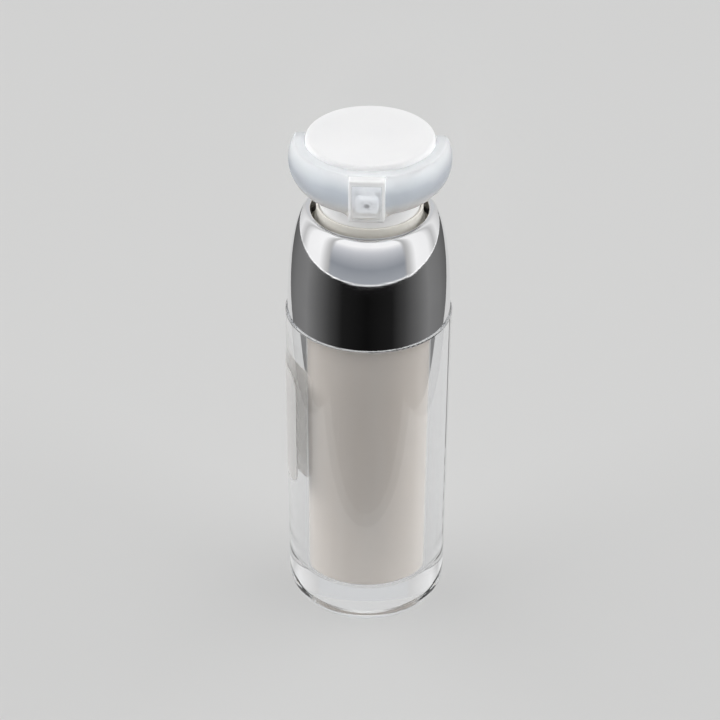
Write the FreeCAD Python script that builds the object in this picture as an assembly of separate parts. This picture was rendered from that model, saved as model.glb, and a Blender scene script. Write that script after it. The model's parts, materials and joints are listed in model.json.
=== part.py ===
"""Airless pump bottle: a clear double-wall bottle with a white product cup, a rising follower piston,
a metallised shoulder collar, a spring-return pump and a pull-off cover over the nozzle.

Millimetres, +Z up. The origin is on the axis, at the plane the bottle stands on. The nozzle points to -Y.
"""

import FreeCAD, Part
import math
import os

Vector = FreeCAD.Vector
UP = Vector(0, 0, 1)
FORWARD = Vector(0, -1, 0)

# Radial sizes, from the product chamber outwards
chamber_radius = 12.0
cup_wall = 1.0
cup_clearance = 0.3
neck_wall = 2.0
collar_clearance = 0.65
collar_wall = 1.15
bottle_ledge = 0.4

# Clear outer bottle
shoulder_height = 74.4
base_thickness = 8.6
base_round = 4.5
foot_width = 6.2
foot_recess = 0.9
foot_round = 0.3
ledge_round = 0.2
neck_height = 9.6
neck_bead_gap = 0.2
neck_bead_rise = 3.6
neck_bead_width = 1.0
neck_bead_slope = 0.25

# White product cup
cup_floor_gap = 0.4
cup_floor = 1.2
cup_round = 1.6
vent_radius = 1.5
cup_flange = 1.2
flange_inset = 0.1
cup_finish_height = 5.4
finish_bead = 0.3
finish_bead_rise = 1.9
finish_bead_width = 1.0

# Follower piston under the product
follower_height = 12.0
follower_wall = 1.0
follower_lip = 0.55
follower_lip_length = 1.6
follower_crown_drop = 0.3
follower_floor_gap = 0.5
lip_clearance = 0.05
well_clearance = 0.8
well_floor_rise = 1.3

# Paper label
label_bottom = 33.2
label_height = 28.3
label_width = 34.0
label_corner = 3.0
label_thickness = 0.15
label_glue = 0.03
label_front_angle = 57.5

# Neck closure, gasket and shoulder collar
closure_clearance = 0.1
closure_wall = 0.85
closure_skirt_gap = 0.3
closure_deck = 1.3
closure_chamfer = 0.8
guide_inset = 2.65
guide_wall = 0.5
guide_round = 0.17
guide_foot_wall = 0.85
guide_foot_height = 3.0
gasket_thickness = 0.6
gasket_width = 1.3
lip_gap = 1.15
lip_rise = 5.0
lip_round = 0.4
lip_thickness = 1.2
snap_rib_gap = 0.15
snap_rib_width = 1.0
snap_rib_play = 0.4
snap_rib_root = 0.4

# Pump
stroke = 4.5
pump_bore_radius = 4.6
pump_wall = 1.2
pump_flange = 1.0
barrel_round = 0.6
stem_radius = 2.2
stem_bore_radius = 1.2
running_clearance = 0.08
press_clearance = 0.03
guide_plug_step = 0.4
guide_plug_length = 1.2
guide_head_width = 1.5
guide_head_height = 1.0
guide_head_gap = 0.2
piston_lift = 0.8
piston_stop_gap = 0.25
piston_height = 3.3
piston_wall = 1.1
piston_lip_length = 0.9
piston_lip_edge = 0.3
piston_lip_root = 0.5
seat_gap = 0.05
foot_thickness = 1.0
foot_radius = 3.4
foot_clearance = 0.4
spigot_length = 3.0
spigot_blade = 1.0
port_radius = 0.35
ball_radius = 1.7
ball_lift = 0.8
ball_retain_gap = 0.36
ball_side_gap = 0.3
ball_seat_gap = 0.03
retain_lip = 0.5
retain_bite = 0.2
inlet_radius = 1.1
inlet_length = 2.0
spring_socket_gap = 0.47
spring_wire_radius = 0.3
spring_turns = 6.0
spring_end_gap = 0.05

# Actuator
guide_overlap = 1.4
press_room = 0.3
head_room = 1.2
skirt_clearance = 0.15
skirt_wall = 0.9
skirt_round = 0.2
head_overhang = 2.05
head_height = 9.6
head_wall = 1.2
head_top = 1.6
head_edge_round = 0.8
head_lower_round = 0.25
dish_margin = 3.0
dish_depth = 0.35
web_thickness = 1.2
web_clearance = 0.1
snap_bead = 0.25
snap_bead_flat = 0.25
socket_wall = 1.15
socket_depth = 5.0
socket_below_seat = 2.5
hub_margin = 0.7
ring_wall = 1.0
flow_room = 1.15
spout_width = 4.4
spout_height = 3.3
spout_floor_gap = 0.25
spout_reach = 2.0
spout_round = 0.9
spout_front_round = 0.3
window_gap = 0.2
channel_radius = 0.8
tip_radius = 1.25
tip_length = 2.5
orifice_radius = 0.55

# Pull-off nozzle cover
cover_clearance = 0.25
cover_drop = 0.6
cover_top_drop = 0.8
cover_rim_overhang = 1.15
cover_bulge_overhang = 3.5
cover_crest_overhang = 2.25
cover_bulge_rise = 5.5
cover_wall = 1.1
cover_top_wall = 1.2
cover_crest_round = 0.55
cover_end_y = 2.3
cover_end_round = 0.4
boss_side_gap = 0.55
boss_tip_gap = 1.05
boss_side = 0.7
boss_wall = 0.75
boss_slope_drop = 0.3
boss_edge_round = 0.45
boss_top_round = 0.35

# Radii worked out from the sizes above
cup_radius = chamber_radius + cup_wall
bore_radius = cup_radius + cup_clearance
bore_round = cup_round + cup_clearance
neck_radius = bore_radius + neck_wall
collar_inner_radius = neck_radius + collar_clearance
collar_radius = collar_inner_radius + collar_wall
bottle_radius = collar_radius + bottle_ledge
label_inner_radius = bottle_radius + label_glue
label_radius = label_inner_radius + label_thickness
closure_inner_radius = cup_radius + closure_clearance
closure_radius = closure_inner_radius + closure_wall
guide_inner_radius = closure_inner_radius - guide_inset
guide_radius = guide_inner_radius + guide_wall
lip_radius = guide_radius + lip_gap
skirt_radius = guide_inner_radius - skirt_clearance
head_radius = guide_radius + head_overhang
head_inner_radius = head_radius - head_wall
web_radius = head_inner_radius - web_clearance
pump_flange_radius = closure_inner_radius - closure_clearance * 2
barrel_radius = pump_bore_radius + pump_wall
guide_plug_radius = pump_bore_radius + guide_plug_step
guide_head_radius = guide_plug_radius + guide_head_width
stem_hole_radius = stem_radius + running_clearance
socket_radius = stem_hole_radius + socket_wall
spring_radius = socket_radius + spring_socket_gap + spring_wire_radius
hub_radius = spring_radius + spring_wire_radius + hub_margin
ball_pocket_radius = ball_radius + ball_side_gap
inlet_tube_radius = inlet_radius + pump_wall
ball_pocket_outer_radius = ball_pocket_radius + pump_wall
well_radius = barrel_radius + well_clearance
cover_inner_radius = head_radius + cover_clearance
cover_rim_radius = head_radius + cover_rim_overhang
cover_bulge_radius = head_radius + cover_bulge_overhang
cover_crest_radius = head_radius + cover_crest_overhang
spout_front = head_radius + spout_reach
boss_front = spout_front + boss_tip_gap + boss_wall
boss_width = spout_width + 2 * (boss_side_gap + boss_wall)

# Heights worked out from the sizes above, upwards from the bottle's shoulder
neck_top = shoulder_height + neck_height
flange_top = neck_top + cup_flange
rim_top = flange_top + cup_finish_height
gasket_top = rim_top + gasket_thickness
pump_top = gasket_top + pump_flange
deck_top = pump_top + closure_deck
guide_top = deck_top + stroke + guide_overlap + press_room
lip_top = deck_top + lip_rise
skirt_bottom = guide_top - guide_overlap
head_bottom = guide_top + stroke + head_room
head_crown = head_bottom + head_height
cover_bottom = head_bottom - cover_drop
cover_top = head_crown - cover_top_drop
spout_bottom = cover_bottom + boss_wall + spout_floor_gap
spout_top = spout_bottom + spout_height
channel_height = (spout_bottom + spout_top) / 2
web_top = spout_top + web_thickness
stem_top = channel_height - channel_radius - flow_room
socket_bottom = stem_top - socket_depth
spring_seat = socket_bottom + socket_below_seat
guide_head_top = pump_top + guide_head_height

# Heights downwards from the top of the pump
plug_bottom = pump_top - guide_plug_length
piston_top = plug_bottom - piston_stop_gap - piston_lift
piston_bottom = piston_top - piston_height
foot_top = piston_bottom - seat_gap
foot_bottom = foot_top - foot_thickness
pump_floor = foot_bottom - stroke - foot_clearance
pocket_top = pump_floor - retain_lip
ball_height = pocket_top - ball_retain_gap - ball_lift - ball_radius
seat_apex = ball_height - math.sqrt(2) * (ball_radius + ball_seat_gap)
seat_top = seat_apex + ball_pocket_radius
seat_bottom = seat_apex + inlet_radius
inlet_end = seat_bottom - inlet_length

# Heights in the lower bottle
cup_bottom = base_thickness + cup_floor_gap
cup_floor_top = cup_bottom + cup_floor
follower_bottom = cup_floor_top + follower_floor_gap
follower_top = follower_bottom + follower_height


def corner_edges(corners):
    """Edges of a closed outline of (r, z) or (r, z, rounding) corners in the XZ plane."""
    points = [Vector(corner[0], 0, corner[1]) for corner in corners]
    entries = []
    exits = []
    arcs = []
    for index, corner in enumerate(corners):
        point = points[index]
        rounding = corner[2] if len(corner) > 2 else 0
        if not rounding:
            entries.append(point)
            exits.append(point)
            arcs.append(None)
            continue
        back = (points[index - 1] - point).normalize()
        ahead = (points[(index + 1) % len(points)] - point).normalize()
        half_angle = back.getAngle(ahead) / 2
        setback = rounding / math.tan(half_angle)
        inward = (back + ahead).normalize()
        middle = point + inward * (rounding / math.sin(half_angle) - rounding)
        entries.append(point + back * setback)
        exits.append(point + ahead * setback)
        arcs.append(Part.Arc(entries[-1], middle, exits[-1]).toShape())
    edges = []
    for index, arc in enumerate(arcs):
        start = exits[index - 1]
        if start.distanceToPoint(entries[index]) > 1e-6:
            edges.append(Part.makeLine(start, entries[index]))
        if arc:
            edges.append(arc)
    return edges


def turn(edges):
    """Solid turned about Z from a closed loop of edges in the XZ plane."""
    return Part.Face(Part.Wire(Part.__sortEdges__(edges))).revolve(Vector(), UP, 360)


def lathe(corners):
    """Solid turned about Z from a closed outline of corners."""
    return turn(corner_edges(corners))


def rod(radius, start, direction, length):
    """Plain cylinder from a start point along a direction."""
    return Part.makeCylinder(radius, length, start, direction)


def block(x_size, y_min, y_max, z_min, z_max):
    """Box centred on X between the given Y and Z limits."""
    return Part.makeBox(x_size, y_max - y_min, z_max - z_min, Vector(-x_size / 2, y_min, z_min))


def ellipse_quarter(centre_r, centre_z, width, height):
    """Quarter ellipse in the XZ plane, from its top on the centre line out to its widest point."""
    top = Vector(centre_r, 0, centre_z + height)
    side = Vector(centre_r + width, 0, centre_z)
    ellipse = Part.Ellipse(top, side, Vector(centre_r, 0, centre_z))
    return Part.ArcOfEllipse(ellipse, 0, math.pi / 2).toShape()


def make_outer_bottle():
    """Thick-walled clear bottle: deep bore, heavy base with a shallow recess, neck with a snap bead."""
    recess_radius = bottle_radius - foot_width
    bead_radius = collar_inner_radius - neck_bead_gap
    bead_bottom = shoulder_height + neck_bead_rise
    bead_top = bead_bottom + neck_bead_width
    return lathe([
        (0, foot_recess),
        (recess_radius - foot_recess, foot_recess, foot_recess),
        (recess_radius, 0, foot_round),
        (bottle_radius, 0, base_round),
        (bottle_radius, shoulder_height, ledge_round),
        (neck_radius, shoulder_height),
        (neck_radius, bead_bottom),
        (bead_radius, bead_bottom + neck_bead_slope),
        (bead_radius, bead_top - neck_bead_slope),
        (neck_radius, bead_top),
        (neck_radius, neck_top),
        (bore_radius, neck_top),
        (bore_radius, base_thickness, bore_round),
        (0, base_thickness),
    ])


def make_inner_bottle():
    """White product cup that hangs by its flange in the neck, with a vent in its floor."""
    bead_bottom = flange_top + finish_bead_rise
    bead_top = bead_bottom + finish_bead_width
    return lathe([
        (vent_radius, cup_bottom),
        (cup_radius, cup_bottom, cup_round),
        (cup_radius, neck_top),
        (neck_radius - flange_inset, neck_top),
        (neck_radius - flange_inset, flange_top),
        (cup_radius, flange_top),
        (cup_radius, bead_bottom),
        (cup_radius + finish_bead, bead_bottom + finish_bead),
        (cup_radius + finish_bead, bead_top - finish_bead),
        (cup_radius, bead_top),
        (cup_radius, rim_top),
        (chamber_radius, rim_top),
        (chamber_radius, cup_floor_top, cup_round - cup_wall),
        (vent_radius, cup_floor_top),
    ])


def make_follower_piston():
    """Follower with a sealing lip at each end and a central well that takes the pump at the end of travel."""
    lip = chamber_radius - lip_clearance
    body = lip - follower_lip
    inner = body - follower_wall
    well_outer = well_radius + follower_wall
    well_floor = follower_bottom + well_floor_rise
    return lathe([
        (0, follower_bottom),
        (well_outer, follower_bottom),
        (well_outer, follower_top - follower_wall),
        (inner, follower_top - follower_wall),
        (inner, follower_bottom),
        (lip, follower_bottom),
        (body, follower_bottom + follower_lip_length),
        (body, follower_top - follower_lip_length),
        (lip, follower_top),
        (body, follower_top - follower_crown_drop),
        (well_radius, follower_top - follower_crown_drop),
        (well_radius, well_floor),
        (0, well_floor),
    ])


def label_band(inner_radius, outer_radius, sweep_degrees):
    """Upright band of the label's height, swept from the label's front edge towards the back."""
    section = [
        Vector(inner_radius, 0, label_bottom),
        Vector(outer_radius, 0, label_bottom),
        Vector(outer_radius, 0, label_bottom + label_height),
        Vector(inner_radius, 0, label_bottom + label_height),
    ]
    band = Part.Face(Part.makePolygon(section + section[:1])).revolve(Vector(), UP, -sweep_degrees)
    band.rotate(Vector(), UP, -90 - label_front_angle)
    return band


def label_corner_cutter(angle_degrees, corner_z, towards_back, towards_middle):
    """What a rounded label corner leaves out: a square prism less a cylinder, along the local radius."""
    reach = label_radius + label_corner
    size = label_corner
    low_corner = Vector(0, min(0, towards_back * size), min(0, towards_middle * size))
    prism = Part.makeBox(reach, size, size, low_corner)
    centre = Vector(0, towards_back * size, towards_middle * size)
    cutter = prism.cut(rod(size, centre, Vector(1, 0, 0), reach))
    cutter.translate(Vector(0, 0, corner_z))
    cutter.rotate(Vector(), UP, angle_degrees)
    return cutter


def make_side_label():
    """Bare paper label with rounded corners on the left side of the bottle."""
    sweep = math.degrees(label_width / label_inner_radius)
    label = label_band(label_inner_radius, label_radius, sweep)
    front_angle = -90 - label_front_angle
    label_top = label_bottom + label_height
    for angle, towards_back in ((front_angle, -1), (front_angle - sweep, 1)):
        label = label.cut(label_corner_cutter(angle, label_bottom, towards_back, 1))
        label = label.cut(label_corner_cutter(angle, label_top, towards_back, -1))
    return label


def make_shoulder_collar():
    """Thin metallised shell: a quarter-ellipse shoulder that closes to a rolled lip round the actuator."""
    crest_radius = lip_radius + lip_round
    inner_top = lip_top - lip_thickness
    outer_height = lip_top - shoulder_height
    inner_height = inner_top - shoulder_height
    outer = ellipse_quarter(crest_radius, shoulder_height, collar_radius - crest_radius, outer_height)
    inner = ellipse_quarter(lip_radius, shoulder_height, collar_inner_radius - lip_radius, inner_height)
    foot_inner = Vector(collar_inner_radius, 0, shoulder_height)
    foot_outer = Vector(collar_radius, 0, shoulder_height)
    roll_centre = Vector(crest_radius, 0, lip_top - lip_round)
    roll_middle = roll_centre + Vector(-1, 0, 1).normalize() * lip_round
    roll_end = Vector(lip_radius, 0, lip_top - lip_round)
    shell = turn([
        outer,
        Part.Arc(Vector(crest_radius, 0, lip_top), roll_middle, roll_end).toShape(),
        Part.makeLine(roll_end, Vector(lip_radius, 0, inner_top)),
        inner,
        Part.makeLine(foot_inner, foot_outer),
    ])
    rib_top = shoulder_height + neck_bead_rise - snap_rib_play
    rib_bottom = rib_top - snap_rib_width
    rib_root = collar_inner_radius + snap_rib_root
    rib = lathe([
        (neck_radius + snap_rib_gap, rib_bottom + snap_rib_gap),
        (rib_root, rib_bottom - snap_rib_gap),
        (rib_root, rib_top),
        (neck_radius + snap_rib_gap, rib_top),
    ])
    return shell.fuse(rib).removeSplitter()


def make_neck_closure():
    """Snap-on closure that clamps the pump to the cup and carries the ring that guides the actuator."""
    skirt_end = flange_top + closure_skirt_gap
    groove_bottom = flange_top + finish_bead_rise - closure_clearance
    groove_top = groove_bottom + finish_bead_width + closure_clearance * 2
    groove_radius = closure_inner_radius + finish_bead
    guide_foot_radius = guide_inner_radius + guide_foot_wall
    guide_foot_top = deck_top + guide_foot_height
    deck_hole = guide_head_radius + guide_head_gap
    return lathe([
        (closure_inner_radius, skirt_end),
        (closure_radius, skirt_end),
        (closure_radius, deck_top - closure_chamfer),
        (closure_radius - closure_chamfer, deck_top),
        (guide_foot_radius, deck_top),
        (guide_foot_radius, guide_foot_top),
        (guide_radius, guide_foot_top + guide_foot_wall - guide_wall),
        (guide_radius, guide_top, guide_round),
        (guide_inner_radius, guide_top, guide_round),
        (guide_inner_radius, deck_top),
        (deck_hole, deck_top),
        (deck_hole, pump_top),
        (closure_inner_radius, pump_top),
        (closure_inner_radius, groove_top),
        (groove_radius, groove_top - finish_bead),
        (groove_radius, groove_bottom + finish_bead),
        (closure_inner_radius, groove_bottom),
    ])


def make_pump_gasket():
    """Flat sealing ring between the cup's rim and the pump's flange."""
    inner = pump_flange_radius - gasket_width
    return lathe([
        (inner, rim_top),
        (pump_flange_radius, rim_top),
        (pump_flange_radius, gasket_top),
        (inner, gasket_top),
    ])


def make_pump_housing():
    """Flanged pump barrel with a conical ball seat, a lip that keeps the ball in, and an inlet tube."""
    counterbore = guide_plug_radius + press_clearance
    barrel_end = pump_floor - pump_wall
    return lathe([
        (inlet_radius, inlet_end),
        (inlet_tube_radius, inlet_end),
        (inlet_tube_radius, seat_bottom),
        (ball_pocket_outer_radius, seat_bottom + ball_pocket_outer_radius - inlet_tube_radius),
        (ball_pocket_outer_radius, barrel_end),
        (barrel_radius, barrel_end, barrel_round),
        (barrel_radius, gasket_top),
        (pump_flange_radius, gasket_top),
        (pump_flange_radius, pump_top),
        (counterbore, pump_top),
        (counterbore, plug_bottom),
        (pump_bore_radius, plug_bottom),
        (pump_bore_radius, pump_floor),
        (ball_radius - retain_bite, pump_floor),
        (ball_radius - retain_bite, pocket_top),
        (ball_pocket_radius, pocket_top),
        (ball_pocket_radius, seat_top),
        (inlet_radius, seat_bottom),
    ])


def make_stem_guide():
    """Plug that closes the barrel, guides the stem and carries the foot of the spring."""
    return lathe([
        (stem_hole_radius, plug_bottom),
        (guide_plug_radius, plug_bottom),
        (guide_plug_radius, pump_top),
        (guide_head_radius, pump_top),
        (guide_head_radius, guide_head_top),
        (stem_hole_radius, guide_head_top),
    ])


def make_return_spring():
    """Compression spring between the stem guide and the actuator's spring seat."""
    bottom = guide_head_top + spring_end_gap + spring_wire_radius
    height = spring_seat - spring_end_gap - spring_wire_radius - bottom
    pitch = height / spring_turns
    helix = Part.makeHelix(pitch, height, spring_radius)
    tangent = Vector(0, 2 * math.pi * spring_radius, pitch)
    section = Part.Wire(Part.Circle(Vector(spring_radius, 0, 0), tangent, spring_wire_radius).toShape())
    spring = Part.Wire(helix).makePipeShell([section], True, True)
    spring.translate(Vector(0, 0, bottom))
    return spring


def make_pump_stem():
    """Hollow stem with two ports just above its foot, which the sliding piston covers at rest."""
    tube = lathe([
        (stem_bore_radius, foot_top),
        (stem_radius, foot_top),
        (stem_radius, stem_top - press_clearance),
        (stem_bore_radius, stem_top - press_clearance),
    ])
    port_height = foot_top + seat_gap + port_radius
    port_start = Vector(-stem_radius, 0, port_height)
    port = rod(port_radius, port_start, Vector(1, 0, 0), stem_radius * 2)
    return tube.cut(port)


def make_stem_foot():
    """Disc that closes the stem, with a flat-sided spigot that leaves a way past for the product."""
    disc = rod(foot_radius, Vector(0, 0, foot_bottom), UP, foot_thickness)
    spigot_radius = stem_bore_radius - press_clearance
    spigot = rod(spigot_radius, Vector(0, 0, foot_bottom), UP, foot_thickness + spigot_length)
    blade = block(spigot_blade, -stem_radius, stem_radius, foot_bottom, foot_top + spigot_length)
    return disc.fuse(spigot.common(blade)).removeSplitter()


def make_pump_piston():
    """Soft sleeve round the stem with a wiping lip at each end."""
    body = stem_hole_radius + piston_wall
    lip = pump_bore_radius - lip_clearance
    return lathe([
        (stem_hole_radius, piston_bottom),
        (body, piston_bottom + piston_lip_length),
        (lip, piston_bottom),
        (lip, piston_bottom + piston_lip_edge),
        (body, piston_bottom + piston_lip_length + piston_lip_root),
        (body, piston_top - piston_lip_length - piston_lip_root),
        (lip, piston_top - piston_lip_edge),
        (lip, piston_top),
        (body, piston_top - piston_lip_length),
        (stem_hole_radius, piston_top),
    ])


def make_inlet_ball():
    """Ball of the inlet valve, on its conical seat."""
    return Part.makeSphere(ball_radius, Vector(0, 0, ball_height))


def spout_block():
    """Spout with rounded long edges, from the hub to the nozzle's front face."""
    spout = block(spout_width, -spout_front, 0, spout_bottom, spout_top)
    long_edges = [edge for edge in spout.Edges if abs(edge.tangentAt(edge.FirstParameter).y) > 0.9]
    spout = spout.makeFillet(spout_round, long_edges)
    front_edges = [edge for edge in spout.Edges if abs(edge.CenterOfMass.y + spout_front) < 1e-6]
    return spout.makeFillet(spout_front_round, front_edges)


def make_actuator_core():
    """Guided skirt, web, stem socket and spout, with the channel from the stem to the nozzle."""
    ring_radius = skirt_radius - skirt_wall
    ring_top = head_crown - head_top
    flow_top = channel_height + channel_radius
    body = lathe([
        (stem_hole_radius, socket_bottom),
        (socket_radius, socket_bottom),
        (socket_radius, spring_seat),
        (hub_radius, spring_seat),
        (hub_radius, spout_top),
        (ring_radius, spout_top),
        (ring_radius, skirt_bottom),
        (skirt_radius, skirt_bottom, skirt_round),
        (skirt_radius, spout_top),
        (web_radius, spout_top),
        (web_radius, web_top),
        (ring_radius, web_top),
        (ring_radius, ring_top),
        (ring_radius - ring_wall, ring_top),
        (ring_radius - ring_wall, web_top),
        (0, web_top),
        (0, flow_top),
        (stem_bore_radius, flow_top),
        (stem_bore_radius, stem_top),
        (stem_hole_radius, stem_top),
    ])
    core = body.fuse(spout_block().cut(rod(hub_radius, Vector(0, 0, spout_bottom), UP, spout_height)))
    axis_start = Vector(0, 0, channel_height)
    core = core.cut(rod(channel_radius, axis_start, FORWARD, spout_front))
    tip_start = axis_start + FORWARD * (spout_front - tip_length)
    core = core.cut(rod(tip_radius + press_clearance, tip_start, FORWARD, tip_length))
    return core.removeSplitter()


def make_actuator_cap():
    """White push head: dished top and a side wall with a slot for the spout and a bead that grips the web."""
    top_inner = head_crown - head_top
    bead_top = spout_top - web_clearance
    bead_radius = web_radius - snap_bead + web_clearance
    shell = lathe([
        (0, top_inner),
        (head_inner_radius, top_inner),
        (head_inner_radius, bead_top),
        (bead_radius, bead_top - snap_bead),
        (bead_radius, bead_top - snap_bead - snap_bead_flat),
        (head_inner_radius, bead_top - snap_bead * 2 - snap_bead_flat),
        (head_inner_radius, head_bottom),
        (head_radius, head_bottom, head_lower_round),
        (head_radius, head_crown, head_edge_round),
        (0, head_crown),
    ])
    dish_radius = head_radius - dish_margin
    sphere_radius = (dish_radius ** 2 + dish_depth ** 2) / (2 * dish_depth)
    dish = Part.makeSphere(sphere_radius, Vector(0, 0, head_crown - dish_depth + sphere_radius))
    slot = block(
        spout_width + window_gap * 2,
        -head_radius - window_gap,
        0,
        head_bottom - window_gap,
        spout_top + window_gap,
    )
    return shell.cut(dish).cut(slot)


def make_nozzle_tip():
    """Orifice insert pressed into the end of the spout."""
    start = Vector(0, -spout_front + tip_length, channel_height)
    tip = rod(tip_radius, start, FORWARD, tip_length)
    return tip.cut(rod(orifice_radius, start, FORWARD, tip_length))


def cover_circle():
    """Circle in the XZ plane through the cover's lower rim, its bulge and its crest."""
    rim = Vector(cover_rim_radius, 0, cover_bottom)
    bulge = Vector(cover_bulge_radius, 0, cover_bottom + cover_bulge_rise)
    crest = Vector(cover_crest_radius, 0, cover_top)
    return Part.Circle(rim, bulge, crest)


def bulged_disc(centre, radius, bottom, top):
    """Solid disc turned about Z whose side is an arc about a centre in the XZ plane."""
    lower = Vector(centre.x + math.sqrt(radius ** 2 - (bottom - centre.z) ** 2), 0, bottom)
    upper = Vector(centre.x + math.sqrt(radius ** 2 - (top - centre.z) ** 2), 0, top)
    middle = Vector(centre.x + radius, 0, centre.z)
    return turn([
        Part.makeLine(Vector(0, 0, bottom), lower),
        Part.Arc(lower, middle, upper).toShape(),
        Part.makeLine(upper, Vector(0, 0, top)),
        Part.makeLine(Vector(0, 0, top), Vector(0, 0, bottom)),
    ])


def boss_plan():
    """Plan of the boss: a flat front with short sides that flare smoothly into the cover's lower rim."""
    half = boss_width / 2
    flare_y = boss_front - boss_side
    flare = (flare_y ** 2 + half ** 2 - cover_rim_radius ** 2) / (2 * (cover_rim_radius - half))
    flare_x = half + flare
    axis = Vector(0, 0, cover_bottom)
    edges = [Part.makeLine(Vector(-half, -boss_front, cover_bottom), Vector(half, -boss_front, cover_bottom))]
    for side in (-1, 1):
        flare_centre = Vector(side * flare_x, -flare_y, cover_bottom)
        corner = Vector(side * half, -boss_front, cover_bottom)
        bend_end = Vector(side * half, -flare_y, cover_bottom)
        rim_point = axis + (flare_centre - axis).normalize() * cover_rim_radius
        to_middle = (bend_end - flare_centre) + (rim_point - flare_centre)
        middle = flare_centre + to_middle.normalize() * flare
        edges.append(Part.makeLine(corner, bend_end))
        edges.append(Part.Arc(bend_end, middle, rim_point).toShape())
        edges.append(Part.makeLine(rim_point, axis))
    return Part.Face(Part.Wire(Part.__sortEdges__(edges)))


def cover_boss():
    """Boss over the nozzle, with a flat front and a top that slopes down to it."""
    boss = boss_plan().extrude(Vector(0, 0, cover_top - cover_bottom))
    front_uprights = [
        edge for edge in boss.Edges
        if abs(edge.CenterOfMass.y + boss_front) < 1e-6 and abs(edge.tangentAt(edge.FirstParameter).z) > 0.9
    ]
    boss = boss.makeFillet(boss_edge_round, front_uprights)
    slope_start = Vector(-boss_front, -cover_inner_radius - cover_wall, cover_top)
    slope_end = Vector(-boss_front, -boss_front, cover_top - boss_slope_drop)
    above_end = Vector(-boss_front, -boss_front, cover_top)
    wedge = Part.Face(Part.makePolygon([slope_start, slope_end, above_end, slope_start]))
    boss = boss.cut(wedge.extrude(Vector(boss_front * 2, 0, 0)))
    front_top = [
        edge for edge in boss.Edges
        if edge.CenterOfMass.y < boss_edge_round - boss_front and edge.BoundBox.ZMin > cover_bottom
    ]
    return boss.makeFillet(boss_top_round, front_top)


def cover_ring(arc):
    """Front part of the bulged disc, with a rounded crest and rounded ear ends."""
    disc = bulged_disc(arc.Center, arc.Radius, cover_bottom, cover_top)
    crest = [edge for edge in disc.Edges if edge.Closed and abs(edge.CenterOfMass.z - cover_top) < 1e-6]
    disc = disc.makeFillet(cover_crest_round, crest)
    reach = cover_bulge_radius * 2
    ring = disc.common(block(reach, -reach, cover_end_y, cover_bottom, cover_top))
    ear_ends = [
        edge for edge in ring.Edges
        if abs(edge.CenterOfMass.y - cover_end_y) < 1e-6 and abs(edge.CenterOfMass.x) > cover_inner_radius
    ]
    return ring.makeFillet(cover_end_round, ear_ends)


def make_nozzle_cover():
    """Milky C-shaped cover that grips the push head and boxes in the nozzle, open to the back."""
    arc = cover_circle()
    outer = cover_ring(arc).fuse(cover_boss())
    hollow_radius = arc.Radius - cover_wall
    hollow_drop = math.sqrt(hollow_radius ** 2 - (cover_inner_radius - arc.Center.x) ** 2)
    hollow_top = cover_top - cover_top_wall
    hollow = bulged_disc(arc.Center, hollow_radius, arc.Center.z - hollow_drop, hollow_top)
    reach = cover_bulge_radius * 2
    hollow = hollow.common(block(reach, -reach, cover_end_y - cover_wall, cover_bottom, cover_top))
    grip = rod(cover_inner_radius, Vector(0, 0, cover_bottom), UP, cover_top - cover_bottom)
    pocket = block(
        boss_width - boss_wall * 2,
        -boss_front + boss_wall,
        0,
        cover_bottom + boss_wall,
        hollow_top,
    )
    return outer.cut(hollow).cut(grip).cut(pocket)


NODES = {
    "outer_bottle": make_outer_bottle,
    "inner_bottle": make_inner_bottle,
    "follower_piston": make_follower_piston,
    "side_label": make_side_label,
    "shoulder_collar": make_shoulder_collar,
    "neck_closure": make_neck_closure,
    "pump_gasket": make_pump_gasket,
    "pump_housing": make_pump_housing,
    "stem_guide": make_stem_guide,
    "return_spring": make_return_spring,
    "pump_stem": make_pump_stem,
    "stem_foot": make_stem_foot,
    "pump_piston": make_pump_piston,
    "inlet_ball": make_inlet_ball,
    "actuator_core": make_actuator_core,
    "actuator_cap": make_actuator_cap,
    "nozzle_tip": make_nozzle_tip,
    "nozzle_cover": make_nozzle_cover,
}

os.makedirs("parts", exist_ok=True)
for node, make in NODES.items():
    shape = make()
    shape.exportStep(f"parts/{node}.step")
    print(node, shape.ShapeType, len(shape.Solids), round(shape.Volume, 2), shape.isValid())
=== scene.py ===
"""Looks of the airless pump bottle: finishes for every node, a pale studio and the camera of the photograph.

Metres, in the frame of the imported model: +Z up, the bottle stands on z = 0 and its nozzle points to -Y.
"""

import json
import math

import bpy
from mathutils import Matrix, Vector


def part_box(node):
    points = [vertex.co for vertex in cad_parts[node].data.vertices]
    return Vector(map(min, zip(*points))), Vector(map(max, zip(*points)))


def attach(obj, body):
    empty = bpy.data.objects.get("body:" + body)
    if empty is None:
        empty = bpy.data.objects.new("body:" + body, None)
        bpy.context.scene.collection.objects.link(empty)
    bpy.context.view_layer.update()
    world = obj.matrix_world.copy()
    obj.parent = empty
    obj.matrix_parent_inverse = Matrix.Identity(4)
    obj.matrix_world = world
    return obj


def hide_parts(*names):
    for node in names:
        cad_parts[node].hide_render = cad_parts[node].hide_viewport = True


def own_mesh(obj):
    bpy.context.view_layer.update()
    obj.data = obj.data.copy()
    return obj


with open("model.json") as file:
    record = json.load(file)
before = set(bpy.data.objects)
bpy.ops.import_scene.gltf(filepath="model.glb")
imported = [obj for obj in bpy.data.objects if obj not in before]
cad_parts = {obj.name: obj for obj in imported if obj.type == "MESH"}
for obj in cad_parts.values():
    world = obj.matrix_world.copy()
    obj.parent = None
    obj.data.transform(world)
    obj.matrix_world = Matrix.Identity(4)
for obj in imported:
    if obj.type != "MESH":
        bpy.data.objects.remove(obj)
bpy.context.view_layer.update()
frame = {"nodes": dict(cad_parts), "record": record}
nodes = frame["nodes"]

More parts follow.
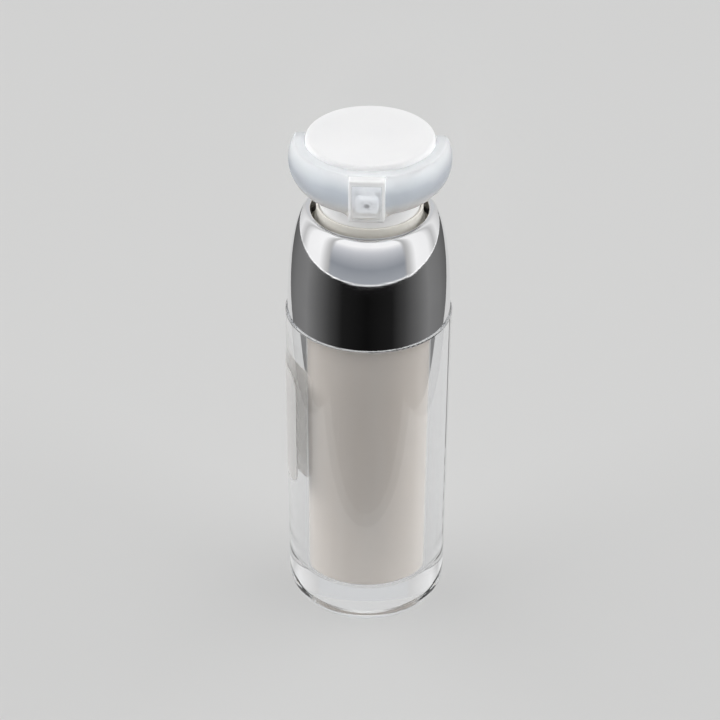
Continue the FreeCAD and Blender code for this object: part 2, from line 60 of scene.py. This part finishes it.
# Camera of the photograph
view_elevation = math.radians(34.8)
view_azimuth = math.radians(2.4)
view_roll = math.radians(0.379)
view_distance = 0.447
view_height = 0.06046
view_side = -0.00177
camera_lens = 104.5
camera_near = 0.01

# Bounces of light through clear walls and between mirrors
clear_bounces = 24
mirror_bounces = 12

# Floor and backdrop
floor_size = 12.0
floor_colour = (0.50, 0.50, 0.495)
floor_mottle = 0.985
floor_glow = (1.0, 1.0, 0.995)
floor_glow_share = 0.34
backdrop_colour = (0.62, 0.63, 0.64)
ambient_colour = (0.05, 0.05, 0.052)

# Lamps
side_lamp_radiance = 2.2
side_lamp_reach = 2.0
side_lamp_front = -1.25
side_lamp_back = 2.65
side_lamp_height = 2.1
top_lamp_radiance = 1.45
top_lamp_size = 0.5
top_lamp_place = (0, 0.1, 0.75)
lamp_watts_per_radiance = 4.0
head_fill_place = (0, -0.50, 0.34)
head_fill_watts = 3.0
head_fill_angle = math.radians(5.5)
head_fill_blend = 0.6
head_fill_size = 0.015

# Light tent: a round wall about the bottle, with turns in degrees from straight in front of the nozzle
tent_radius = 0.34
tent_height = 0.6
tent_turn = 150
tent_steps = 50
front_turn = 52
front_blur = 5
front_tones = [
    (0.0, (0.38, 0.40, 0.43)),
    (0.09, (0.28, 0.30, 0.33)),
    (0.28, (0.61, 0.62, 0.65)),
    (0.46, (1.0, 1.0, 1.0)),
]
wall_tones = [(50, 0.30), (60, 0.55), (72, 1.0), (96, 0.95), (110, 0.55), (124, 0.85), (150, 0.60)]
strip_height = 0.0045
strip_blur = 0.0015
strip_colour = (1.3, 1.3, 1.3)

# Dark cloth inside the tent, which leaves free the patch of floor that the camera sees
cloth_lift = 0.002
cloth_tones = [(0, 0.005), (33, 0.012), (50, 0.05), (69, 0.12), (90, 0.21), (116, 0.18), (150, 0.10)]
view_near = -0.050
view_near_half = 0.080
view_far = 0.30
view_far_half = 0.128

# Refraction and scatter
acrylic_ior = 1.49
polypropylene_ior = 1.49
even_scatter = (1.0, 1.0, 1.0)

# Nozzle cover: a boss with a thin clear window in front, and tones from its lower rim up to its crest that are
# painted shade and light: a darker blue-grey band of painted shade over the middle, lighter towards the lower
# rim and the crest where light falls
boss_width = 0.0070
boss_wall = 0.00075
window_blur = 0.0002
cover_painted_shade_tones = [
    (0.0, (0.90, 0.86, 0.81)),
    (0.16, (0.83, 0.82, 0.81)),
    (0.36, (0.68, 0.71, 0.75)),
    (0.60, (0.68, 0.71, 0.745)),
    (0.85, (0.86, 0.875, 0.89)),
    (1.0, (0.95, 0.955, 0.96)),
]
boss_colour = (0.97, 0.96, 0.945)
window_colour = (0.94, 0.945, 0.95)
cover_clearness = 0.5
boss_clearness = 0.15
window_clearness = 0.92
cover_roughness = 0.24
window_roughness = 0.29


class Finish:
    """One node material around a Principled shader, with short calls for the patterns that drive it."""

    def __init__(self, name):
        self.material = bpy.data.materials.new(name)
        self.material.use_nodes = True
        self.tree = self.material.node_tree
        self.shader = self.tree.nodes["Principled BSDF"]
        self.output = self.tree.nodes["Material Output"]
        self.place = self.node("ShaderNodeTexCoord").outputs["Object"]
        split = self.node("ShaderNodeSeparateXYZ")
        self.feed(split.inputs["Vector"], self.place)
        self.x, self.y, self.z = split.outputs

    def node(self, kind, **settings):
        """New node with the given settings."""
        made = self.tree.nodes.new(kind)
        for setting, value in settings.items():
            setattr(made, setting, value)
        return made

    def feed(self, socket, value):
        """Gives an input socket a number, a colour or the output of another node."""
        if isinstance(value, (int, float)):
            socket.default_value = value
        elif isinstance(value, tuple):
            socket.default_value = (*value, 1)
        else:
            self.tree.links.new(value, socket)

    def set(self, **values):
        """Plain values on the shader's own sockets, named with underscores for spaces."""
        for socket, value in values.items():
            self.shader.inputs[socket.replace("_", " ")].default_value = value

    def drive(self, socket, value):
        """Drives one of the shader's own sockets with a pattern."""
        self.feed(self.shader.inputs[socket], value)

    def stretched(self, scale):
        """Object coordinates stretched along each axis."""
        mapping = self.node("ShaderNodeMapping")
        mapping.inputs["Scale"].default_value = scale
        self.feed(mapping.inputs["Vector"], self.place)
        return mapping.outputs["Vector"]

    def noise(self, scale, detail=3.0, vector=None):
        """Noise between 0 and 1 with features of about 1/scale metres."""
        texture = self.node("ShaderNodeTexNoise")
        self.feed(texture.inputs["Scale"], scale)
        self.feed(texture.inputs["Detail"], detail)
        self.feed(texture.inputs["Vector"], vector or self.place)
        return texture.outputs["Fac"]

    def shades(self, fac, stops):
        """Colour that runs through (position, colour) stops."""
        ramp = self.node("ShaderNodeValToRGB")
        elements = ramp.color_ramp.elements
        elements[0].position, elements[0].color = stops[0][0], (*stops[0][1], 1)
        elements[1].position, elements[1].color = stops[-1][0], (*stops[-1][1], 1)
        for position, colour in stops[1:-1]:
            elements.new(position).color = (*colour, 1)
        self.feed(ramp.inputs["Fac"], fac)
        return ramp.outputs["Color"]

    def ramp(self, fac, low, high, start=0.3, end=0.7):
        """Colour that runs from low to high as fac goes from start to end."""
        return self.shades(fac, [(start, low), (end, high)])

    def range(self, value, low, high, start=0.3, end=0.7, kind="LINEAR"):
        """Number that runs from low to high as a value goes from start to end."""
        mapped = self.node("ShaderNodeMapRange", interpolation_type=kind)
        self.feed(mapped.inputs["From Min"], start)
        self.feed(mapped.inputs["From Max"], end)
        self.feed(mapped.inputs["To Min"], low)
        self.feed(mapped.inputs["To Max"], high)
        self.feed(mapped.inputs["Value"], value)
        return mapped.outputs["Result"]

    def math(self, operation, first, second=0):
        """One sum of two sockets or numbers."""
        sum_node = self.node("ShaderNodeMath", operation=operation)
        self.feed(sum_node.inputs[0], first)
        self.feed(sum_node.inputs[1], second)
        return sum_node.outputs["Value"]

    def bearing(self):
        """Share of a half turn that a place lies from straight in front of the nozzle."""
        forward = self.math("MULTIPLY", self.y, -1)
        angle = self.math("ARCTAN2", self.x, forward)
        return self.math("DIVIDE", self.math("ABSOLUTE", angle), math.pi)

    def greys(self, tones):
        """Grey that runs through (degrees from the front, level) tones."""
        return self.shades(self.bearing(), [(degrees / 180, (level, level, level)) for degrees, level in tones])

    def blend(self, first, second, fac):
        """Colour that goes from the first to the second, sockets or plain colours, as fac goes from 0 to 1."""
        mix = self.node("ShaderNodeMix", data_type="RGBA")
        first_colour, second_colour = mix.inputs[6:8]
        self.feed(mix.inputs["Factor"], fac)
        self.feed(first_colour, first)
        self.feed(second_colour, second)
        return mix.outputs[2]

    def between(self, value, low, high, blur):
        """1 where a value lies between low and high, falling softly to 0 over the blur outside them."""
        rise = self.range(value, 0, 1, low - blur, low, "SMOOTHSTEP")
        fall = self.range(value, 1, 0, high, high + blur, "SMOOTHSTEP")
        return self.math("MULTIPLY", rise, fall)

    def colour(self, value):
        """Drives the base colour."""
        self.drive("Base Color", value)

    def roughness(self, fac, low, high):
        """Drives the roughness between two numbers."""
        self.drive("Roughness", self.range(fac, low, high))

    def bump(self, height, depth):
        """Raises the surface by a height pattern, depth metres deep."""
        bump = self.node("ShaderNodeBump")
        self.feed(bump.inputs["Strength"], 1.0)
        self.feed(bump.inputs["Distance"], depth)
        self.feed(bump.inputs["Height"], height)
        self.drive("Normal", bump.outputs["Normal"])

    def plain(self, kind, colour):
        """Simple shader of one colour."""
        shader = self.node(kind)
        self.feed(shader.inputs["Color"], colour)
        return shader

    def show(self, shader):
        """Puts a shader on the surface."""
        self.feed(self.output.inputs["Surface"], shader.outputs[0])

    def mix(self, first, second, fac):
        """Puts two shaders on the surface, the second by a share that is a number or a socket."""
        mix = self.node("ShaderNodeMixShader")
        self.feed(mix.inputs["Fac"], fac)
        self.feed(mix.inputs[1], first.outputs[0])
        self.feed(mix.inputs[2], second.outputs[0])
        self.show(mix)

    def show_through(self, colour, share):
        """Lets light from the far side glow through a thin sheet."""
        self.mix(self.shader, self.plain("ShaderNodeBsdfTranslucent", colour), share)

    def pass_lamps(self, tint):
        """Lets lamp rays through to what is behind, tinted."""
        lamp_ray = self.node("ShaderNodeLightPath").outputs["Is Shadow Ray"]
        self.mix(self.shader, self.plain("ShaderNodeBsdfTransparent", tint), lamp_ray)


def clear_acrylic():
    """Polished clear acrylic with faint handling haze."""
    finish = Finish("clear_acrylic")
    haze = finish.noise(scale=90, detail=6)
    finish.colour(finish.ramp(haze, low=(0.965, 0.975, 0.985), high=(0.985, 0.99, 0.995)))
    finish.roughness(haze, low=0.0, high=0.018)
    finish.set(IOR=acrylic_ior, Transmission_Weight=1.0)
    finish.pass_lamps(tint=(0.95, 0.96, 0.97))
    return finish.material


def white_cup():
    """Smooth warm-white polypropylene with weak upright flow marks."""
    finish = Finish("white_cup")
    flow = finish.noise(scale=40, detail=4, vector=finish.stretched((6, 6, 0.6)))
    finish.colour(finish.ramp(flow, low=(0.86, 0.775, 0.695), high=(0.89, 0.815, 0.74)))
    finish.roughness(flow, low=0.28, high=0.40)
    finish.bump(finish.noise(scale=900), depth=0.00001)
    finish.set(IOR=polypropylene_ior)
    return finish.material


def white_polyethylene():
    """Soft white polyethylene, slightly waxy."""
    finish = Finish("white_polyethylene")
    wax = finish.noise(scale=300, detail=5)
    finish.colour(finish.ramp(wax, low=(0.82, 0.82, 0.80), high=(0.87, 0.87, 0.86)))
    finish.roughness(wax, low=0.42, high=0.55)
    finish.set(Subsurface_Weight=0.2, Subsurface_Scale=0.001, Subsurface_Radius=even_scatter)
    return finish.material


def label_paper():
    """Bare coated label stock with short fibres."""
    finish = Finish("label_paper")
    fibre = finish.noise(scale=1500, detail=8, vector=finish.stretched((1, 1, 0.35)))
    finish.colour(finish.ramp(fibre, low=(0.89, 0.885, 0.875), high=(0.93, 0.925, 0.915)))
    finish.roughness(fibre, low=0.45, high=0.6)
    finish.bump(fibre, depth=0.00001)
    finish.show_through(colour=(0.90, 0.89, 0.875), share=0.42)
    return finish.material


def metallised_collar():
    """Mirror-bright vacuum-metallised plastic with faint haze and hairlines round the axis."""
    finish = Finish("metallised_collar")
    haze = finish.noise(scale=140, detail=6)
    hairline = finish.noise(scale=120, detail=8, vector=finish.stretched((1, 1, 40)))
    finish.colour(finish.ramp(haze, low=(0.86, 0.86, 0.87), high=(0.91, 0.91, 0.92)))
    finish.roughness(haze, low=0.02, high=0.07)
    finish.bump(hairline, depth=0.0000012)
    finish.set(Metallic=1.0)
    return finish.material


def natural_polypropylene():
    """Uncoloured cream polypropylene, slightly cloudy."""
    finish = Finish("natural_polypropylene")
    cloud = finish.noise(scale=220, detail=4)
    finish.colour(finish.ramp(cloud, low=(0.80, 0.765, 0.69), high=(0.86, 0.835, 0.77)))
    finish.roughness(cloud, low=0.16, high=0.28)
    finish.set(Subsurface_Weight=0.3, Subsurface_Scale=0.0015, Subsurface_Radius=even_scatter)
    finish.set(IOR=polypropylene_ior)
    return finish.material


def gasket_foam():
    """Closed-cell foamed polyethylene."""
    finish = Finish("gasket_foam")
    texture = finish.node("ShaderNodeTexVoronoi")
    finish.feed(texture.inputs["Scale"], 4000)
    finish.feed(texture.inputs["Vector"], finish.place)
    cells = texture.outputs["Distance"]
    finish.colour(finish.ramp(cells, low=(0.74, 0.74, 0.73), high=(0.86, 0.86, 0.85), start=0.0, end=0.6))
    finish.roughness(finish.noise(scale=900), low=0.7, high=0.85)
    finish.bump(cells, depth=0.00005)
    return finish.material


def spring_steel():
    """Bright drawn stainless wire."""
    finish = Finish("spring_steel")
    draw = finish.noise(scale=2500, detail=6)
    finish.colour(finish.ramp(draw, low=(0.50, 0.50, 0.51), high=(0.66, 0.66, 0.67)))
    finish.roughness(draw, low=0.18, high=0.32)
    finish.set(Metallic=1.0)
    return finish.material


def white_actuator():
    """Satin white polypropylene with a fine moulded texture."""
    finish = Finish("white_actuator")
    drift = finish.noise(scale=70, detail=4)
    finish.colour(finish.ramp(drift, low=(0.885, 0.885, 0.89), high=(0.915, 0.915, 0.915)))
    finish.roughness(drift, low=0.36, high=0.46)
    finish.bump(finish.noise(scale=3500, detail=2), depth=0.000006)
    finish.set(Subsurface_Weight=0.12, Subsurface_Scale=0.001, Subsurface_Radius=even_scatter)
    finish.set(IOR=polypropylene_ior)
    return finish.material


def cover_boss(finish):
    """1 on the front of the cover's boss, and 1 on the thin window within it."""
    low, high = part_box("nozzle_cover")
    front = finish.between(finish.y, low.y - boss_wall, low.y + boss_wall * 2, window_blur)
    half = boss_width / 2
    boss = finish.math("MULTIPLY", finish.between(finish.x, -half, half, window_blur), front)
    across = finish.between(finish.x, boss_wall - half, half - boss_wall, window_blur)
    upright = finish.between(finish.z, low.z + boss_wall, high.z - boss_wall * 2, window_blur)
    window = finish.math("MULTIPLY", finish.math("MULTIPLY", across, upright), front)
    return boss, window


def milky_cover():
    """Milky polypropylene, painted with shade and light: a darker blue-grey band of painted shade over the
    middle of its wall, lighter at its lower rim and crest, whiter on its boss, and clearer in the window before
    the nozzle.
    """
    finish = Finish("milky_cover")
    low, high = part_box("nozzle_cover")
    boss, window = cover_boss(finish)
    cloud = finish.noise(scale=130, detail=5)
    # Painted shade and light by height: darker blue-grey over the middle of the wall, lighter at the lower rim
    # and crest; the noise adds random tone
    rise = finish.range(finish.z, 0, 1, start=low.z, end=high.z)
    drift = finish.math("ADD", rise, finish.range(cloud, low=-0.05, high=0.05))
    walls = finish.blend(finish.shades(drift, cover_painted_shade_tones), boss_colour, boss)
    finish.colour(finish.blend(walls, window_colour, window))
    finish.drive("Roughness", finish.range(window, cover_roughness, window_roughness, start=0, end=1))
    frame_clearness = finish.range(boss, cover_clearness, boss_clearness, start=0, end=1)
    added_clearness = finish.range(window, 0, window_clearness - boss_clearness, start=0, end=1)
    finish.drive("Transmission Weight", finish.math("ADD", frame_clearness, added_clearness))
    finish.set(Subsurface_Weight=0.8, Subsurface_Scale=0.003, Subsurface_Radius=even_scatter)
    finish.set(IOR=polypropylene_ior)
    finish.pass_lamps(tint=(0.95, 0.965, 0.98))
    return finish.material


FINISHES = {
    "clear_acrylic": clear_acrylic,
    "white_cup": white_cup,
    "white_polyethylene": white_polyethylene,
    "label_paper": label_paper,
    "metallised_collar": metallised_collar,
    "natural_polypropylene": natural_polypropylene,
    "gasket_foam": gasket_foam,
    "spring_steel": spring_steel,
    "white_actuator": white_actuator,
    "milky_cover": milky_cover,
}


def dress_nodes():
    """Gives every node the finish of its material slot."""
    made = {slot: make() for slot, make in FINISHES.items()}
    for subpart in frame["record"]["subparts"]:
        materials = nodes[subpart["node"]].data.materials
        materials.clear()
        materials.append(made[subpart["material_slot"]])


def add_live_spring():
    """Copy of the return spring with its own mesh, carried by the bottle's body, in place of the stiff one,
    which is hidden.
    """
    stiff = nodes["return_spring"]
    spring = bpy.data.objects.new("live_spring", stiff.data.copy())
    bpy.context.scene.collection.objects.link(spring)
    spring.matrix_world = stiff.matrix_world
    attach(spring, "bottle")
    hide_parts("return_spring")
    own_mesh(spring)


def stage_mesh(name, points, faces, material):
    """Studio piece that isn't part of the object."""
    mesh = bpy.data.meshes.new(name)
    mesh.from_pydata(points, [], faces)
    mesh.materials.append(material)
    piece = bpy.data.objects.new(name, mesh)
    bpy.context.scene.collection.objects.link(piece)
    return piece


def seen_rays(tree):
    """1 for rays from the camera, mirrors and glass, 0 for light that bounces between other surfaces."""
    path = tree.nodes.new("ShaderNodeLightPath")
    seen = path.outputs["Is Camera Ray"]
    for ray in ("Is Glossy Ray", "Is Transmission Ray"):
        either = tree.nodes.new("ShaderNodeMath")
        either.operation = "MAXIMUM"
        tree.links.new(seen, either.inputs[0])
        tree.links.new(path.outputs[ray], either.inputs[1])
        seen = either.outputs["Value"]
    return seen


def floor_finish():
    """Plain pale studio floor with the faintest mottle, evened out by a glow that lights no matt surface."""
    finish = Finish("studio_floor")
    low = tuple(channel * floor_mottle for channel in floor_colour)
    finish.colour(finish.ramp(finish.noise(scale=9), low, floor_colour))
    finish.set(Roughness=0.75)
    share = finish.math("MULTIPLY", seen_rays(finish.tree), floor_glow_share)
    finish.mix(finish.shader, finish.plain("ShaderNodeEmission", floor_glow), share)
    return finish.material


def add_floor():
    """Square floor that the bottle stands on."""
    half = floor_size / 2
    corners = [(-half, -half, 0), (half, -half, 0), (half, half, 0), (-half, half, 0)]
    stage_mesh("floor", corners, [(0, 1, 2, 3)], floor_finish())


def add_world():
    """Pale backdrop for the camera, reflections and glass, and a weaker even fill for everything else."""
    world = bpy.data.worlds.new("studio")
    world.use_nodes = True
    tree = world.node_tree
    fill = tree.nodes["Background"]
    fill.inputs["Color"].default_value = (*ambient_colour, 1)
    backdrop = tree.nodes.new("ShaderNodeBackground")
    backdrop.inputs["Color"].default_value = (*backdrop_colour, 1)
    mix = tree.nodes.new("ShaderNodeMixShader")
    tree.links.new(seen_rays(tree), mix.inputs["Fac"])
    tree.links.new(fill.outputs["Background"], mix.inputs[1])
    tree.links.new(backdrop.outputs["Background"], mix.inputs[2])
    tree.links.new(mix.outputs["Shader"], tree.nodes["World Output"].inputs["Surface"])
    bpy.context.scene.world = world


def tent_finish():
    """Glow of the tent wall: blue-grey in front, lighter upwards, greys beside, and a bright lower edge."""
    finish = Finish("tent_wall")
    front = finish.shades(finish.range(finish.z, 0, 1, start=0, end=tent_height), front_tones)
    beside = finish.range(finish.bearing(), 0, 1, start=front_turn / 180, end=(front_turn + front_blur) / 180)
    wall = finish.blend(front, finish.greys(wall_tones), beside)
    above = finish.range(finish.z, 0, 1, start=strip_height, end=strip_height + strip_blur)
    finish.show(finish.plain("ShaderNodeEmission", finish.blend(strip_colour, wall, above)))
    return finish.material


def cloth_finish():
    """Dark cloth that glows faintly, its glow lighter towards the sides, and that the floor below doesn't see.
    """
    finish = Finish("dark_cloth")
    dark = finish.plain("ShaderNodeEmission", finish.greys(cloth_tones))
    clear = finish.node("ShaderNodeBsdfTransparent")
    finish.mix(dark, clear, finish.node("ShaderNodeNewGeometry").outputs["Backfacing"])
    return finish.material


def add_tent_wall():
    """Wall round the bottle that only mirrors and glass show."""
    points = []
    for step in range(tent_steps + 1):
        turn = math.radians(tent_turn * (2 * step / tent_steps - 1))
        foot = Vector((math.sin(turn), -math.cos(turn), 0)) * tent_radius
        points += [foot, foot + Vector((0, 0, tent_height))]
    faces = [(edge, edge + 2, edge + 3, edge + 1) for edge in range(0, tent_steps * 2, 2)]
    wall = stage_mesh("tent_wall", points, faces, tent_finish())
    wall.visible_camera = False
    wall.visible_diffuse = False
    wall.visible_shadow = False


def add_cloth():
    """Dark cloth before and beside the patch of floor that the camera sees."""
    points = [(-tent_radius, -tent_radius, 0), (tent_radius, -tent_radius, 0)]
    points += [(tent_radius, view_far, 0), (-tent_radius, view_far, 0)]
    points += [(-view_near_half, view_near, 0), (view_near_half, view_near, 0)]
    points += [(view_far_half, view_far, 0), (-view_far_half, view_far, 0)]
    cloth = stage_mesh("dark_cloth", points, [(0, 1, 5, 4), (1, 2, 6, 5), (3, 0, 4, 7)], cloth_finish())
    cloth.location.z = cloth_lift
    cloth.visible_camera = False
    cloth.visible_shadow = False


def aim(lamp, name, place, target):
    """Puts a lamp at a place, turned to a target and out of the camera's sight."""
    box = bpy.data.objects.new(name, lamp)
    bpy.context.scene.collection.objects.link(box)
    box.location = place
    box.rotation_euler = (Vector(target) - Vector(place)).to_track_quat("-Z", "Y").to_euler()
    box.visible_camera = False
    return box


def keep_from_mirrors(lamp):
    """Keeps a lamp out of reflections and glass, where the tent's wall stands for it."""
    lamp.visible_glossy = False
    lamp.visible_transmission = False


def softbox(name, place, target, width, height, radiance):
    """Rectangular lamp at a place, turned to a target."""
    lamp = bpy.data.lights.new(name, "AREA")
    lamp.shape = "RECTANGLE"
    lamp.size = width
    lamp.size_y = height
    lamp.energy = lamp_watts_per_radiance * width * height * radiance
    return aim(lamp, name, place, target)


def add_head_fill():
    """Narrow fill from the front on the head, its nozzle cover and the ring below it."""
    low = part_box("nozzle_cover")[0]
    lamp = bpy.data.lights.new("head_fill", "SPOT")
    lamp.energy = head_fill_watts
    lamp.spot_size = head_fill_angle
    lamp.spot_blend = head_fill_blend
    lamp.shadow_soft_size = head_fill_size
    keep_from_mirrors(aim(lamp, "head_fill", head_fill_place, (0, low.y, low.z)))


def add_lamps():
    """Large softboxes at the sides, one overhead and the fill on the head."""
    depth = (side_lamp_front + side_lamp_back) / 2
    width = side_lamp_back - side_lamp_front
    height = side_lamp_height / 2
    for name, side in (("left_softbox", -1), ("right_softbox", 1)):
        place = (side * side_lamp_reach, depth, height)
        target = (0, depth, height)
        keep_from_mirrors(softbox(name, place, target, width, side_lamp_height, side_lamp_radiance))
    bottle_middle = (0, 0, view_height)
    softbox("top_softbox", top_lamp_place, bottle_middle, top_lamp_size, top_lamp_size, top_lamp_radiance)
    add_head_fill()


def add_camera():
    """Camera at the photograph's viewing angle."""
    turn = Matrix.Rotation(view_azimuth, 3, "Z")
    target = turn @ Vector((view_side, 0, view_height))
    back = turn @ Vector((0, -math.cos(view_elevation), math.sin(view_elevation)))
    right = back.cross(Vector((0, 0, 1))).normalized() * -1
    up = back.cross(right)
    rolled_right = right * math.cos(view_roll) + up * math.sin(view_roll)
    rolled_up = up * math.cos(view_roll) - right * math.sin(view_roll)
    matrix = Matrix((rolled_right, rolled_up, back)).transposed().to_4x4()
    matrix.translation = target + back * view_distance
    data = bpy.data.cameras.new("photo_camera")
    data.lens = camera_lens
    data.clip_start = camera_near
    camera = bpy.data.objects.new("photo_camera", data)
    bpy.context.scene.collection.objects.link(camera)
    camera.matrix_world = matrix
    bpy.context.scene.camera = camera


def set_view():
    """Standard view, and enough bounces for light to cross the clear walls."""
    scene = bpy.context.scene
    scene.view_settings.view_transform = "Standard"
    scene.cycles.max_bounces = clear_bounces
    scene.cycles.transmission_bounces = clear_bounces
    scene.cycles.transparent_max_bounces = clear_bounces
    scene.cycles.glossy_bounces = mirror_bounces


dress_nodes()
add_live_spring()
add_world()
add_floor()
add_tent_wall()
add_cloth()
add_lamps()
add_camera()
set_view()
